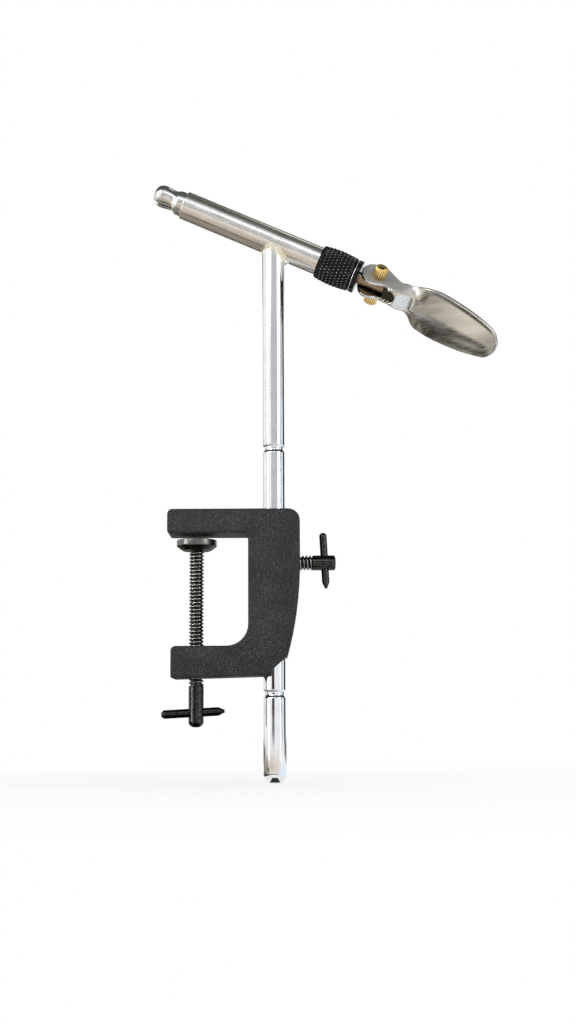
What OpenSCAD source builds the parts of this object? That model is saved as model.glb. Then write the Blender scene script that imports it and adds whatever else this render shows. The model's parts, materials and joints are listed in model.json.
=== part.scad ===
// Fly tying vise: a table clamp, a sliding stem, and a sloping barrel with split jaws and a cam lever.
// Millimetres, +Z up the stem. The origin is on the clamp's table face, on the clamp screw's axis,
// and +X runs from that screw to the stem.

/* [Clamp frame] */
// Depth of the casting from front to back
frame_depth = 18; // [17:0.5:24]
// Thickness of the upper arm
upper_arm_h = 10.3; // [8:0.1:14]
// Reach of the upper arm in front of the clamp screw
upper_arm_reach = 12; // [10:0.5:18]
// Height of the throat between the two arms
throat_h = 47; // [40:0.5:50]
// Distance from the clamp screw to the spine
throat_depth = 21.9; // [18:0.1:30]
// Radius of the throat's lower corner
throat_corner_r = 9; // [4:0.5:11]
// Thickness of the lower arm at its tip
lower_arm_h = 13.4; // [11:0.1:16]
// Reach of the lower arm in front of the clamp screw
lower_arm_reach = 10.2; // [8:0.1:14]
// Width of the spine that holds the stem
spine_w = 21.7; // [19:0.1:26]
// How far the spine's outer edge draws in at its lower corner
spine_taper = 5.4; // [3:0.1:6]
// Radius of the outer upper corner
shoulder_r = 5; // [2:0.5:7]
// Width of the slanting cut across the outer lower corner
corner_cut_w = 9.2; // [6:0.1:10]
// Height of the slanting cut across the outer lower corner
corner_cut_h = 9.2; // [6:0.1:11]
// Rise of the underside from the lower arm's tip to its heel
heel_rise = 1; // [0.2:0.1:2]

/* [Clamp screw and pad] */
// Diameter of the clamp screw
clamp_screw_d = 6.35; // [5.5:0.05:8]
// Pitch of the screw threads
thread_pitch = 1.5; // [1:0.1:2]
// Length of the clamp screw's thread
clamp_thread_len = 56.6; // [50:0.1:62]
// Length of the clamp screw's plain shank, to its domed end
clamp_shank_len = 17.1; // [14:0.1:24]
// Diameter of the pressure pad
pad_d = 17; // [15:0.5:18]
// Height of the pad's rim
pad_rim_h = 2.6; // [2:0.1:4]
// Height of the cone under the rim
pad_cone_h = 1.9; // [1:0.1:3]
// Gap between the pad and the table face as it stands
pad_gap = 2.1; // [0.1:0.1:12]

/* [Lock screw] */
// Diameter of the lock screw
lock_screw_d = 6.35; // [5.5:0.05:8]
// Depth of the lock screw's axis below the table face
lock_drop = 11.9; // [8:0.1:20]
// Length of thread that stands out of the spine
lock_thread_out = 5.3; // [3:0.1:10]
// Length of the lock screw's plain head
lock_head_len = 9.9; // [8:0.1:14]

/* [Tommy bars] */
// Diameter of the clamp screw's bar
clamp_bar_d = 3.6; // [2.8:0.1:4]
// Length of the clamp screw's bar
clamp_bar_len = 26.4; // [20:0.1:34]
// Diameter of the lock screw's bar
lock_bar_d = 3.2; // [2.6:0.1:4]
// Length of the lock screw's bar
lock_bar_len = 23.6; // [18:0.1:30]
// Lean of both bars from square to their screws, in degrees
bar_lean = 3; // [0:0.5:4]

/* [Stem] */
// Diameter of the stem
stem_d = 9.5; // [8:0.1:11]
// Depth of the stem's foot below the table face
stem_foot_drop = 103.5; // [90:0.5:140]
// Height of the barrel's axis over the table face, at the stem
barrel_rise = 129.6; // [110:0.1:160]
// Height of the upper stop groove over the lock screw
upper_groove_rise = 48.8; // [40:0.1:60]
// Depth of the lower stop groove under the lock screw
lower_groove_drop = 54.9; // [50:0.1:60]
// Width of a stop groove
groove_w = 3.2; // [2:0.1:5]
// Depth of a stop groove
groove_depth = 0.75; // [0.3:0.05:1.2]

/* [Barrel] */
// Downward slope of the barrel towards its lever end, in degrees
barrel_slope = 23.7; // [15:0.1:30]
// Diameter of the barrel tube
tube_d = 12.4; // [11.5:0.1:15]
// Length of the barrel tube
tube_len = 79.5; // [70:0.5:95]
// Distance from the stem's axis to the tube's rear end
tube_behind = 37.1; // [30:0.1:45]
// Thickness of the tube's wall
tube_wall = 1.45; // [1.2:0.05:1.7]

/* [Adjusting collar] */
// Length of the knurled collar
collar_len = 18.5; // [17:0.1:22]
// Height of the collar's crown over the tube
collar_side = 1.8; // [1.6:0.1:3]
// Thickness of the collar's rear wall, which the cam bears on
collar_wall = 2; // [1.2:0.1:3]
// Room for the collar to be screwed forwards
collar_room = 1.5; // [0.5:0.1:2]

/* [Jaws] */
// Length of jaw in front of the barrel's mouth
jaw_out_len = 13.8; // [11:0.1:18]
// How far the closed jaws' ring lies inside the tube's outside
jaw_ring_inset = 1.05; // [0.8:0.05:1.6]
// How far the rounded nose lies inside the ring
jaw_nose_inset = 0.55; // [0.2:0.05:0.8]
// How far the waist behind the nose lies inside the ring
jaw_waist_inset = 0.95; // [0.8:0.05:1.6]
// Width of the slit between the open jaws
slit_w = 1.1; // [1.1:0.1:1.6]
// Length of the slit behind the barrel's mouth
slit_depth = 26; // [24:0.5:32]
// Turn of the jaws and lever about the barrel, in degrees
head_turn = 50; // [0:1:90]
// Further turn of the jaws' slit from the cam pin, in degrees
slit_turn = 22; // [0:1:40]

/* [Draw rod and spring] */
// Diameter of the draw rod
rod_d = 5.2; // [4:0.1:5.4]
// Length of the collet shank behind the slit
shank_len = 11; // [9:0.5:14]
// Length of draw rod behind the cam pin
rod_tail = 3.9; // [3:0.1:5]
// Length of the return spring when the jaws are closed
spring_len = 20.8; // [16:0.1:22]
// Thickness of the thrust washer
washer_t = 1.2; // [0.8:0.1:2]

/* [Cam lever] */
// Distance from the lever's pin to its tip
lever_len = 59.6; // [50:0.1:75]
// Width of the lever's blade
blade_w = 24; // [18:0.5:30]
// Thickness of the lever's sheet
sheet_t = 1.4; // [1:0.1:1.6]
// Rest angle of the lever from the barrel's axis, in degrees
lever_rest = 10; // [4:0.5:16]
// Radius of the cam where it starts
cam_start_r = 7.75; // [7:0.05:9]
// Rise of the cam over its working angle
cam_rise = 1.8; // [1:0.1:2.2]
// Working angle of the cam, in degrees
cam_angle = 57; // [45:1:70]

/* [Cam pin and nuts] */
// Diameter of the cam pin
pin_d = 3; // [2:0.1:3.4]
// Distance between the outer ends of the two nuts
nut_span = 18.6; // [17:0.1:24]
// Diameter of the nuts
nut_d = 5.9; // [5:0.1:7]
// Number of flutes round a nut
nut_flutes = 18; // [12:1:20]

/* [Fits] */
// Radial clearance of parts that turn or slide in a bore
running_gap = 0.05; // [0.02:0.01:0.08]
// Clearance of parts that are fixed together
seat_gap = 0.02; // [0.01:0.01:0.04]
// Clearance between moving faces that must not rub
face_gap = 0.3; // [0.2:0.05:0.4]

/* [Hidden] */

$fn = 64;

// Steps along each rounded corner or swell of an outline
arc_steps = 8;
// How far every cut runs past the faces that it opens
overrun = 1;

// Small corners of the casting
nose_top_r = 2.2;
nose_low_r = 1.3;
foot_corner_r = 1.2;
tip_corner_r = 2;
inner_corner_r = 0.8;

// Places of the main axes and corners
stem_r = stem_d / 2;
stem_x = throat_depth + spine_w / 2;
spine_out_x = throat_depth + spine_w;
frame_low_z = -throat_h - lower_arm_h;
corner_top_z = frame_low_z + corner_cut_h;
corner_out_x = spine_out_x - spine_taper;

// Threads and their screws
clamp_r = clamp_screw_d / 2;
lock_r = lock_screw_d / 2;
thread_depth = 0.8;
thread_crest = 0.3;

// Pressure pad, and the turned neck that holds it on the clamp screw
pad_r = pad_d / 2;
pad_foot_r = pad_r - 1.4 * pad_cone_h;
pad_low_z = -pad_gap - pad_rim_h - pad_cone_h;
pad_dish_depth = 1.5;
pad_lip = 2.3;
pad_floor_z = -pad_gap - pad_dish_depth;
neck_r = 2.1;
neck_play = 0.1;
neck_head_r = 3.6;
neck_head_h = 0.9;

// Clamp screw, downwards from the pad, and its bar
clamp_top_z = pad_low_z - neck_play;
clamp_end_z = clamp_top_z - clamp_thread_len - clamp_shank_len;
clamp_dome_h = clamp_r / 2;
clamp_bar_inset = 6.1;
clamp_bar_shift = 1.25;

// Lock screw, outwards from the stem, and its bar
lock_tip_x = stem_x + stem_r + face_gap / 2;
lock_point_len = 1.2;
lock_end_h = 0.7;
lock_thread_len = spine_out_x + lock_thread_out - lock_tip_x;
lock_bar_inset = 4.8;
lock_bar_shift = 1;

// Ends of both bars
bar_chamfer = 0.9;
pinch_len = 3;
pinch_share = 0.42;

// Stem's foot and the brazed joint at its top
foot_round_h = 2.4;
foot_flat_r = stem_r / 2;
bead_w = 1.3;

// Barrel tube, backwards from its mouth
mouth_ahead = tube_len - tube_behind;
tube_r = tube_d / 2;
tube_bore_r = tube_r - tube_wall;
tube_thread_r = tube_r - 0.3;
tube_thread_len = 11.5;
tube_thread_s = tube_len - tube_thread_len;

// Jaws: how far each swings in at the mouth as the cam draws them back, and what that leaves round them
jaw_swing = 0.34;
jaw_gap = 0.1;
jaw_angle = atan(jaw_swing / slit_depth);
wedge_slope = jaw_swing / cam_rise;
ring_w = 2;
ring_rear = -0.4;
ring_r = tube_r - jaw_ring_inset;
nose_r = ring_r - jaw_nose_inset;
waist_r = ring_r - jaw_waist_inset;
jaw_shank_r = tube_bore_r - jaw_swing - jaw_gap;
wedge_len = (ring_r - jaw_shank_r) / wedge_slope;
mouth_r = ring_r + jaw_swing + jaw_gap + wedge_slope * ring_rear;
mouth_depth = (mouth_r - tube_bore_r) / wedge_slope;

// Draw rod, spring, washer and bush, backwards along the bore
rod_r = rod_d / 2;
rod_socket = 8;
rod_chamfer = 0.3;
rod_gap = 0.15;
shank_rear = slit_depth + shank_len;
spring_gap = 0.4;
spring_front = shank_rear + cam_rise + running_gap;
washer_front = spring_front + spring_len + running_gap;
bush_front = washer_front + washer_t + running_gap;

// Adjusting collar
collar_front = tube_len + collar_room + collar_wall - collar_len;
collar_rear = collar_front + collar_len;
collar_step_s = tube_thread_s + collar_room;
collar_gap = 0.1;
collar_crown_h = 0.8;
collar_lip_w = 0.9;
collar_ring_w = 2.2;
collar_groove_w = 0.8;
collar_groove_depth = 0.5;
collar_chamfer = 0.4;
collar_end_r = tube_r + collar_side - collar_crown_h;

// Cam lever, from its pin. An even spiral reaches a little further ahead than its own radius.
spiral_lead = cam_rise / (cam_angle * PI / 180);
cam_reach = cam_start_r + spiral_lead * spiral_lead / (2 * cam_start_r);
pin_s = collar_rear + cam_reach + face_gap;
pin_r = pin_d / 2;
ear_in = rod_r + face_gap;
ear_out = ear_in + sheet_t;
web_start = 7.8;
web_drop = 3.9;
neck_end = 19;
blade_start = 17;
cam_dwell_from = -45;
cam_dwell_to = 96;
cam_step = 3;

// Nuts
nut_r = nut_d / 2;
nut_len = nut_span / 2 - ear_out;
nut_chamfer = 0.6;
nut_recess = 0.5;
flute_r = 0.28;

function arc_points(centre, r, from, to) =
    [for (i = [0:arc_steps]) let (a = from + (to - from) * i / arc_steps) centre + r * [cos(a), sin(a)]];

// A smooth step from 0 to 1 as share runs from 0 to 1
function ease(share) = (1 - cos(180 * share)) / 2;

// The spine's outer edge from the lock screw to the corner cut, drawing in ever faster
function spine_edge() =
    [for (i = [0:arc_steps]) let (share = i / arc_steps)
        [spine_out_x - spine_taper * share * share, -lock_drop + (corner_top_z + lock_drop) * share]];

function frame_outline() = concat(
    arc_points([nose_low_r - upper_arm_reach, nose_low_r], nose_low_r, 270, 180),
    arc_points([nose_top_r - upper_arm_reach, upper_arm_h - nose_top_r], nose_top_r, 180, 90),
    arc_points([spine_out_x - shoulder_r, upper_arm_h - shoulder_r], shoulder_r, 90, 0),
    spine_edge(),
    [[corner_out_x - corner_cut_w, frame_low_z + heel_rise]],
    arc_points([foot_corner_r - lower_arm_reach, frame_low_z + foot_corner_r], foot_corner_r, 270, 180),
    arc_points([tip_corner_r - lower_arm_reach, -throat_h - tip_corner_r], tip_corner_r, 180, 90),
    arc_points([throat_depth - throat_corner_r, throat_corner_r - throat_h], throat_corner_r, 270, 360),
    arc_points([throat_depth - inner_corner_r, -inner_corner_r], inner_corner_r, 0, 90)
);

// The profile of a thread, turn after turn, from height start up to start + len
function thread_points(r, start, len) = concat(
    [for (i = [0:floor(len / thread_pitch) - 1]) let (middle = start + (i + 0.5) * thread_pitch)
        each [[r - thread_depth, middle - thread_pitch / 2],
              [r, middle - thread_crest / 2],
              [r, middle + thread_crest / 2]]],
    [[r - thread_depth, start + floor(len / thread_pitch) * thread_pitch]]);

// A turned bar along +Z, chamfered at its start and pinched to a wedge at its far end
module pinched_bar(r, len) {
    difference() {
        rotate_extrude()
            polygon([[0, 0], [r - bar_chamfer, 0], [r, bar_chamfer], [r, len], [0, len]]);
        for (side = [0, 180])
            rotate([0, 0, side])
                translate([0, 0, len - pinch_len])
                    rotate([90, 0, 0])
                        linear_extrude(4 * r, center = true)
                            polygon([[r, 0], [pinch_share * r, pinch_len + overrun],
                                     [2 * r, pinch_len + overrun], [2 * r, 0]]);
    }
}

module clamp_frame() {
    color([0.24, 0.25, 0.26])
    difference() {
        rotate([90, 0, 0])
            linear_extrude(frame_depth, center = true)
                polygon(frame_outline());
        // the stem's bore, down through the spine
        translate([stem_x, 0, frame_low_z - overrun])
            cylinder(h = upper_arm_h - frame_low_z + 2 * overrun, r = stem_r + running_gap);
        // the lock screw's hole, from the stem's bore out through the edge
        translate([stem_x, 0, -lock_drop])
            rotate([0, 90, 0])
                cylinder(h = spine_w, r = lock_r + running_gap);
        // the clamp screw's hole through the lower arm
        translate([0, 0, frame_low_z - overrun])
            cylinder(h = lower_arm_h + 2 * overrun, r = clamp_r + running_gap);
    }
}

module pressure_pad() {
    hole_r = neck_r + neck_play;
    color([0.42, 0.43, 0.44])
    rotate_extrude()
        polygon([
            [hole_r, pad_low_z], [pad_foot_r, pad_low_z], [pad_r, pad_low_z + pad_cone_h],
            [pad_r, -pad_gap], [pad_r - pad_lip, -pad_gap], [pad_r - pad_lip, pad_floor_z],
            [hole_r, pad_floor_z]
        ]);
}

// The clamp screw's bar and its cross hole share this place
module at_clamp_bar() {
    translate([0, 0, clamp_end_z + clamp_bar_inset])
        rotate([0, 90 - bar_lean, 0])
            translate([0, 0, -clamp_bar_len / 2 - clamp_bar_shift])
                children();
}

module clamp_screw() {
    thread_z = clamp_end_z + clamp_shank_len;
    head_z = pad_floor_z + neck_play;
    color([0.13, 0.13, 0.14])
    difference() {
        rotate_extrude()
            polygon(concat(
                [[0, clamp_end_z]],
                [for (i = [1:arc_steps]) let (a = 90 * i / arc_steps)
                    [clamp_r * sin(a), clamp_end_z + clamp_dome_h * (1 - cos(a))]],
                [[clamp_r, thread_z]],
                thread_points(clamp_r, thread_z, clamp_thread_len),
                [[clamp_r - thread_depth, clamp_top_z], [neck_r, clamp_top_z], [neck_r, head_z],
                 [neck_head_r, head_z], [neck_head_r, head_z + neck_head_h], [0, head_z + neck_head_h]]));
        at_clamp_bar()
            translate([0, 0, -overrun])
                cylinder(h = clamp_bar_len + 2 * overrun, r = clamp_bar_d / 2 + running_gap);
    }
}

module clamp_tommy_bar() {
    color([0.1, 0.1, 0.11])
    at_clamp_bar()
        pinched_bar(clamp_bar_d / 2, clamp_bar_len);
}

// Places its children with z running out along the lock screw from its point
module at_lock_screw() {
    translate([lock_tip_x, 0, -lock_drop])
        rotate([0, 90, 0])
            children();
}

// The lock screw's bar and its cross hole share this place
module at_lock_bar() {
    translate([0, 0, lock_thread_len + lock_head_len - lock_bar_inset])
        rotate([0, 90 - bar_lean, 0])
            translate([0, 0, -lock_bar_len / 2 - lock_bar_shift])
                children();
}

module lock_screw() {
    head_end = lock_thread_len + lock_head_len;
    color([0.1, 0.1, 0.11])
    at_lock_screw()
        difference() {
            rotate_extrude()
                polygon(concat(
                    [[0, 0], [lock_r - thread_depth, 0]],
                    thread_points(lock_r, lock_point_len, lock_thread_len - lock_point_len),
                    [[lock_r - thread_depth, lock_thread_len], [lock_r, lock_thread_len],
                     [lock_r, head_end - lock_end_h], [lock_r - lock_end_h, head_end - lock_end_h / 2],
                     [0, head_end]]));
            at_lock_bar()
                translate([0, 0, -overrun])
                    cylinder(h = lock_bar_len + 2 * overrun, r = lock_bar_d / 2 + running_gap);
        }
}

module lock_tommy_bar() {
    color([0.1, 0.1, 0.11])
    at_lock_screw()
        at_lock_bar()
            pinched_bar(lock_bar_d / 2, lock_bar_len);
}

// A stop groove's profile upwards: a long flank, a narrow floor and a steep upper shoulder
function groove_points(z) = [
    [stem_r, z - groove_w / 2], [stem_r - groove_depth, z - groove_w / 8],
    [stem_r - groove_depth, z + groove_w / 3], [stem_r, z + groove_w / 2]];

// The stem, coped at its top to fit round the barrel
module stem() {
    color([0.82, 0.83, 0.85])
    difference() {
        translate([stem_x, 0, 0])
            rotate_extrude()
                polygon(concat(
                    [[0, -stem_foot_drop]],
                    [for (i = [0:arc_steps]) let (a = 90 * i / arc_steps)
                        [foot_flat_r + (stem_r - foot_flat_r) * sin(a),
                         foot_round_h * (1 - cos(a)) - stem_foot_drop]],
                    groove_points(-lock_drop - lower_groove_drop),
                    groove_points(upper_groove_rise - lock_drop),
                    [[stem_r, barrel_rise], [0, barrel_rise]]));
        along_barrel()
            cylinder(h = 2 * mouth_ahead, r = tube_r + seat_gap);
    }
}

// Places its children along the barrel, with z running back from the mouth
module along_barrel() {
    translate([stem_x, 0, barrel_rise])
        rotate([0, 90 + barrel_slope, 0])
            translate([0, 0, -mouth_ahead])
                children();
}

// As along_barrel, with x towards the lever's web and y along the cam pin
module along_head() {
    along_barrel()
        rotate([0, 0, head_turn - 90])
            children();
}

module barrel_tube() {
    color([0.72, 0.71, 0.69])
    along_barrel()
        rotate_extrude()
            polygon([
                [mouth_r, 0], [tube_r, 0], [tube_r, tube_thread_s], [tube_thread_r, tube_thread_s],
                [tube_thread_r, tube_len], [tube_bore_r, tube_len], [tube_bore_r, mouth_depth]
            ]);
}

// The brazed bead that follows the slanting joint between the stem and the barrel
module braze_bead() {
    color([0.86, 0.85, 0.8])
    difference() {
        intersection() {
            along_barrel()
                cylinder(h = 2 * mouth_ahead, r = tube_r + bead_w);
            translate([stem_x, 0, barrel_rise - 2 * tube_d])
                cylinder(h = 2 * tube_d, r = stem_r + bead_w);
        }
        along_barrel()
            cylinder(h = 2 * mouth_ahead, r = tube_r + seat_gap);
        translate([stem_x, 0, 0])
            cylinder(h = barrel_rise, r = stem_r + seat_gap);
        // only the joint under the barrel's middle is filled
        translate([stem_x, 0, barrel_rise])
            rotate([0, barrel_slope, 0])
                translate([-tube_d, -tube_d, -tube_r * 0.35])
                    cube(2 * tube_d);
    }
}

// A plain ring round the barrel's axis, from start to start + len
module ring(start, len, out_r, in_r) {
    along_barrel()
        translate([0, 0, start])
            difference() {
                cylinder(h = len, r = out_r);
                translate([0, 0, -overrun])
                    cylinder(h = len + 2 * overrun, r = in_r);
            }
}

module rear_bush() {
    color([0.6, 0.6, 0.61])
        ring(bush_front, tube_len - bush_front, tube_bore_r - seat_gap, rod_r + rod_gap);
}

module thrust_washer() {
    color([0.55, 0.55, 0.56])
        ring(washer_front, washer_t, tube_bore_r - running_gap, rod_r + rod_gap);
}

// The return spring's space between the shank and the washer, as one plain sleeve
module return_spring() {
    color([0.5, 0.5, 0.52])
        ring(spring_front, spring_len, tube_bore_r - spring_gap, rod_r + spring_gap);
}

module adjusting_collar() {
    crown_from = collar_front + collar_lip_w;
    crown_to = collar_rear - collar_ring_w - collar_groove_w;
    step_r = tube_r + collar_gap;
    thread_r = tube_thread_r + collar_gap;
    rod_hole_r = rod_r + face_gap;
    color([0.08, 0.08, 0.09])
    along_barrel()
        rotate_extrude()
            polygon(concat(
                [[step_r, collar_front], [collar_end_r - collar_chamfer, collar_front],
                 [collar_end_r, collar_front + collar_chamfer]],
                [for (i = [0:arc_steps]) let (share = i / arc_steps)
                    [collar_end_r + collar_crown_h * sin(15 + 150 * share),
                     crown_from + (crown_to - crown_from) * share]],
                [[collar_end_r - collar_groove_depth, crown_to + collar_groove_w / 2],
                 [collar_end_r, crown_to + collar_groove_w], [collar_end_r, collar_rear - collar_chamfer],
                 [collar_end_r - collar_chamfer, collar_rear], [rod_hole_r, collar_rear],
                 [rod_hole_r, collar_rear - collar_wall], [thread_r, collar_rear - collar_wall],
                 [thread_r, collar_step_s], [step_r, collar_step_s]]));
}

module collet_shank() {
    color([0.66, 0.66, 0.67])
    along_head()
        difference() {
            translate([0, 0, slit_depth])
                cylinder(h = shank_len, r = tube_bore_r - running_gap);
            translate([0, 0, shank_rear - rod_socket])
                cylinder(h = rod_socket + overrun, r = rod_r + seat_gap);
        }
}

// Both jaws in one, as turned when closed: nose, waist, ring, wedge and shank
module jaw_blank() {
    nose_flat_share = 0.45;
    nose_full_share = 0.34;
    waist_share = 0.73;
    nose_s = -jaw_out_len;
    ring_s = ring_rear - ring_w;
    span = ring_s - nose_s;
    rotate_extrude()
        polygon(concat(
            [[0, nose_s]],
            [for (i = [0:arc_steps]) let (a = 90 * i / arc_steps)
                [nose_r * (nose_flat_share + (1 - nose_flat_share) * sin(a)),
                 nose_s + span * nose_full_share * (1 - cos(a))]],
            [for (i = [1:arc_steps]) let (share = i / arc_steps)
                [nose_r - (nose_r - waist_r) * ease(share),
                 nose_s + span * (nose_full_share + (waist_share - nose_full_share) * share)]],
            [for (i = [1:arc_steps]) let (share = i / arc_steps)
                [waist_r + (ring_r - waist_r) * ease(share),
                 nose_s + span * (waist_share + (1 - waist_share) * share)]],
            [[ring_r, ring_rear], [jaw_shank_r, ring_rear + wedge_len],
             [jaw_shank_r, slit_depth + overrun], [0, slit_depth + overrun]]));
}

// One open jaw, swung out about the slit's end and sawn along the slit. side is -1 for the upper jaw
// and 1 for the lower.
module jaw(side) {
    along_head()
        rotate([0, 0, slit_turn])
            intersection() {
                translate([0, 0, slit_depth])
                    rotate([side * jaw_angle, 0, 0])
                        translate([0, 0, -slit_depth])
                            jaw_blank();
                translate([-tube_d, side > 0 ? slit_w / 2 : -slit_w / 2 - tube_d, -jaw_out_len - overrun])
                    cube([2 * tube_d, tube_d, jaw_out_len + slit_depth + overrun - running_gap]);
            }
}

module upper_jaw() {
    color([0.76, 0.76, 0.77]) jaw(-1);
}

module lower_jaw() {
    color([0.76, 0.76, 0.77]) jaw(1);
}

module draw_rod() {
    rod_front = shank_rear - rod_socket + seat_gap;
    rod_rear = pin_s + rod_tail;
    color([0.5, 0.42, 0.33])
    along_head()
        difference() {
            rotate_extrude()
                polygon([
                    [0, rod_front], [rod_r, rod_front], [rod_r, rod_rear - rod_chamfer],
                    [rod_r - rod_chamfer, rod_rear], [0, rod_rear]
                ]);
            translate([0, 0, pin_s])
                rotate([90, 0, 0])
                    cylinder(h = 2 * rod_d, r = pin_r + running_gap, center = true);
        }
}

// Places its children at the cam pin, with z along the lever, x out of its web and y along the pin
module at_lever() {
    along_head()
        translate([0, 0, pin_s])
            rotate([0, lever_rest, 0])
                children();
}

// The cam's radius: an even rise over the working angle, then a dwell. Angles are counted from
// straight ahead of the lever, away from its web.
function cam_r(angle) =
    cam_start_r + cam_rise * min(max((angle + lever_rest) / cam_angle, -0.25), 1);

// The web's line from the fork to the blade, offset to its outer (1) or inner (-1) face
function web_line(side) =
    [for (i = [0:arc_steps]) let (share = i / arc_steps)
        [web_drop * ease(1 - share) + side * sheet_t / 2, web_start + (neck_end - web_start) * share]];

function reversed(points) = [for (i = [len(points) - 1:-1:0]) points[i]];

// Side view of an ear as [out of the web, along the lever]: the cam, the back edge down to the blade,
// the web's outer face, and the scooped front edge of the fork
back_edge_shares = [[-0.97, 0.02], [-0.9, 0.24], [-0.66, 0.66], [-0.5, 1.05], [-0.3, 1.45], [-0.12, 1.82]];
front_edge_shares = [[0.44, 0.88], [0.43, 0.5], [0.72, 0.12], [0.9, -0.27], [0.82, -0.5]];
function ear_outline() = concat(
    [for (angle = [cam_dwell_from:cam_step:cam_dwell_to]) -cam_r(angle) * [sin(angle), cos(angle)]],
    (cam_start_r + cam_rise) * back_edge_shares,
    reversed(web_line(1)),
    cam_start_r * front_edge_shares);

// Half plan of the blade, as shares of half its width and of its length from blade_start to the tip
blade_shares = [
    [0.36, -0.22], [0.37, -0.1], [0.44, -0.03], [0.58, 0.02], [0.8, 0.09], [0.93, 0.16], [0.99, 0.25],
    [1, 0.33], [0.965, 0.48], [0.89, 0.64], [0.79, 0.77], [0.68, 0.865], [0.55, 0.93], [0.36, 0.975],
    [0.14, 1]
];
function blade_half() =
    [for (p = blade_shares) [p.x * blade_w / 2, blade_start + p.y * (lever_len - blade_start)]];
function blade_plan() = concat(blade_half(), reversed([for (p = blade_half()) [-p.x, p.y]]));

module cam_lever() {
    color([0.66, 0.64, 0.6])
    at_lever()
        difference() {
            union() {
                difference() {
                    // web and blade: the bent sheet, cut to the blade's plan
                    intersection() {
                        rotate([90, 0, 0])
                            linear_extrude(2 * blade_w, center = true)
                                polygon(concat(
                                    web_line(1),
                                    [[sheet_t / 2, lever_len + overrun], [-sheet_t / 2, lever_len + overrun]],
                                    reversed(web_line(-1))));
                        union() {
                            rotate([90, 0, 90])
                                linear_extrude(4 * web_drop, center = true)
                                    polygon(blade_plan());
                            translate([-2 * web_drop, -ear_out, web_start])
                                cube([4 * web_drop, 2 * ear_out, blade_start - web_start]);
                        }
                    }
                    // the fork's round-ended slot
                    translate([0, 0, web_start])
                        rotate([0, 90, 0])
                            cylinder(h = 4 * web_drop, r = ear_in, center = true);
                }
                for (side = [-1, 1])
                    translate([0, side * (ear_in + sheet_t / 2), 0])
                        rotate([90, 0, 0])
                            linear_extrude(sheet_t, center = true)
                                polygon(ear_outline());
            }
            rotate([90, 0, 0])
                cylinder(h = 4 * ear_out, r = pin_r + seat_gap, center = true);
        }
}

module cam_pin() {
    color([0.1, 0.1, 0.11])
    at_lever()
        rotate([90, 0, 0])
            cylinder(h = nut_span - 2 * nut_recess, r = pin_r, center = true);
}

// A fluted nut on the cam pin, from its ear outwards along +Z, with a chamfered outer end
module fluted_nut() {
    translate([0, 0, ear_out])
        difference() {
            rotate_extrude()
                polygon([
                    [pin_r + seat_gap, 0], [nut_r, 0], [nut_r, nut_len - nut_chamfer],
                    [nut_r - nut_chamfer, nut_len], [pin_r + seat_gap, nut_len]
                ]);
            for (i = [0:nut_flutes - 1])
                rotate([0, 0, 360 * i / nut_flutes])
                    translate([nut_r, 0, -overrun])
                        cylinder(h = nut_len + 2 * overrun, r = flute_r, $fn = 16);
        }
}

module upper_pin_nut() {
    color([0.8, 0.62, 0.25])
    at_lever()
        rotate([90, 0, 0])
            fluted_nut();
}

module lower_pin_nut() {
    color([0.8, 0.62, 0.25])
    at_lever()
        rotate([-90, 0, 0])
            fluted_nut();
}

clamp_frame();
clamp_screw();
clamp_tommy_bar();
pressure_pad();
lock_screw();
lock_tommy_bar();
stem();
barrel_tube();
braze_bead();
rear_bush();
adjusting_collar();
thrust_washer();
return_spring();
collet_shank();
upper_jaw();
lower_jaw();
draw_rod();
cam_lever();
cam_pin();
upper_pin_nut();
lower_pin_nut();
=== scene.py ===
import bmesh
import bpy
import json
import math
from mathutils import Matrix, Vector


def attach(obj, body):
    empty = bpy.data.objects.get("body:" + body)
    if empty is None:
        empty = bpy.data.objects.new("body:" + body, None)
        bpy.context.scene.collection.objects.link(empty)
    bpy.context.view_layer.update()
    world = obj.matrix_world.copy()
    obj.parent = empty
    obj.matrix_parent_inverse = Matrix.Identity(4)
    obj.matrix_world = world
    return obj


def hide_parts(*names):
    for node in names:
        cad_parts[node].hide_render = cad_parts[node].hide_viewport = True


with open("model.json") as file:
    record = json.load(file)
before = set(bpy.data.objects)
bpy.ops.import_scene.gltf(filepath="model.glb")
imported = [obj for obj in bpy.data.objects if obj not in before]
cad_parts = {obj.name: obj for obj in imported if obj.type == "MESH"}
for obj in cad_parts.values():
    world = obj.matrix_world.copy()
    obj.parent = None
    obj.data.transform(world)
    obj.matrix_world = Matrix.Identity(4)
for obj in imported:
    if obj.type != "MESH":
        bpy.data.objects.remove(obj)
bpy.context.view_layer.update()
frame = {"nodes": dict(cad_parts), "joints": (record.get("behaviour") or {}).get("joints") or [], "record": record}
joints = {joint["name"]: joint for joint in frame["joints"]}
mounts = {mount["name"]: mount for mount in frame["record"]["mounts"]}

# Shapes are modelled in millimetres, each in its own frame, and then put in place in metres.
millimetre = 0.001
alongX, alongY, alongZ = Vector((1, 0, 0)), Vector((0, 1, 0)), Vector((0, 0, 1))


def placed(origin, xAxis, yAxis, zAxis):
    turn = Matrix((xAxis, yAxis, zAxis)).transposed()
    return Matrix.Translation(origin) @ turn.to_4x4() @ Matrix.Scale(millimetre, 4)


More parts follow.
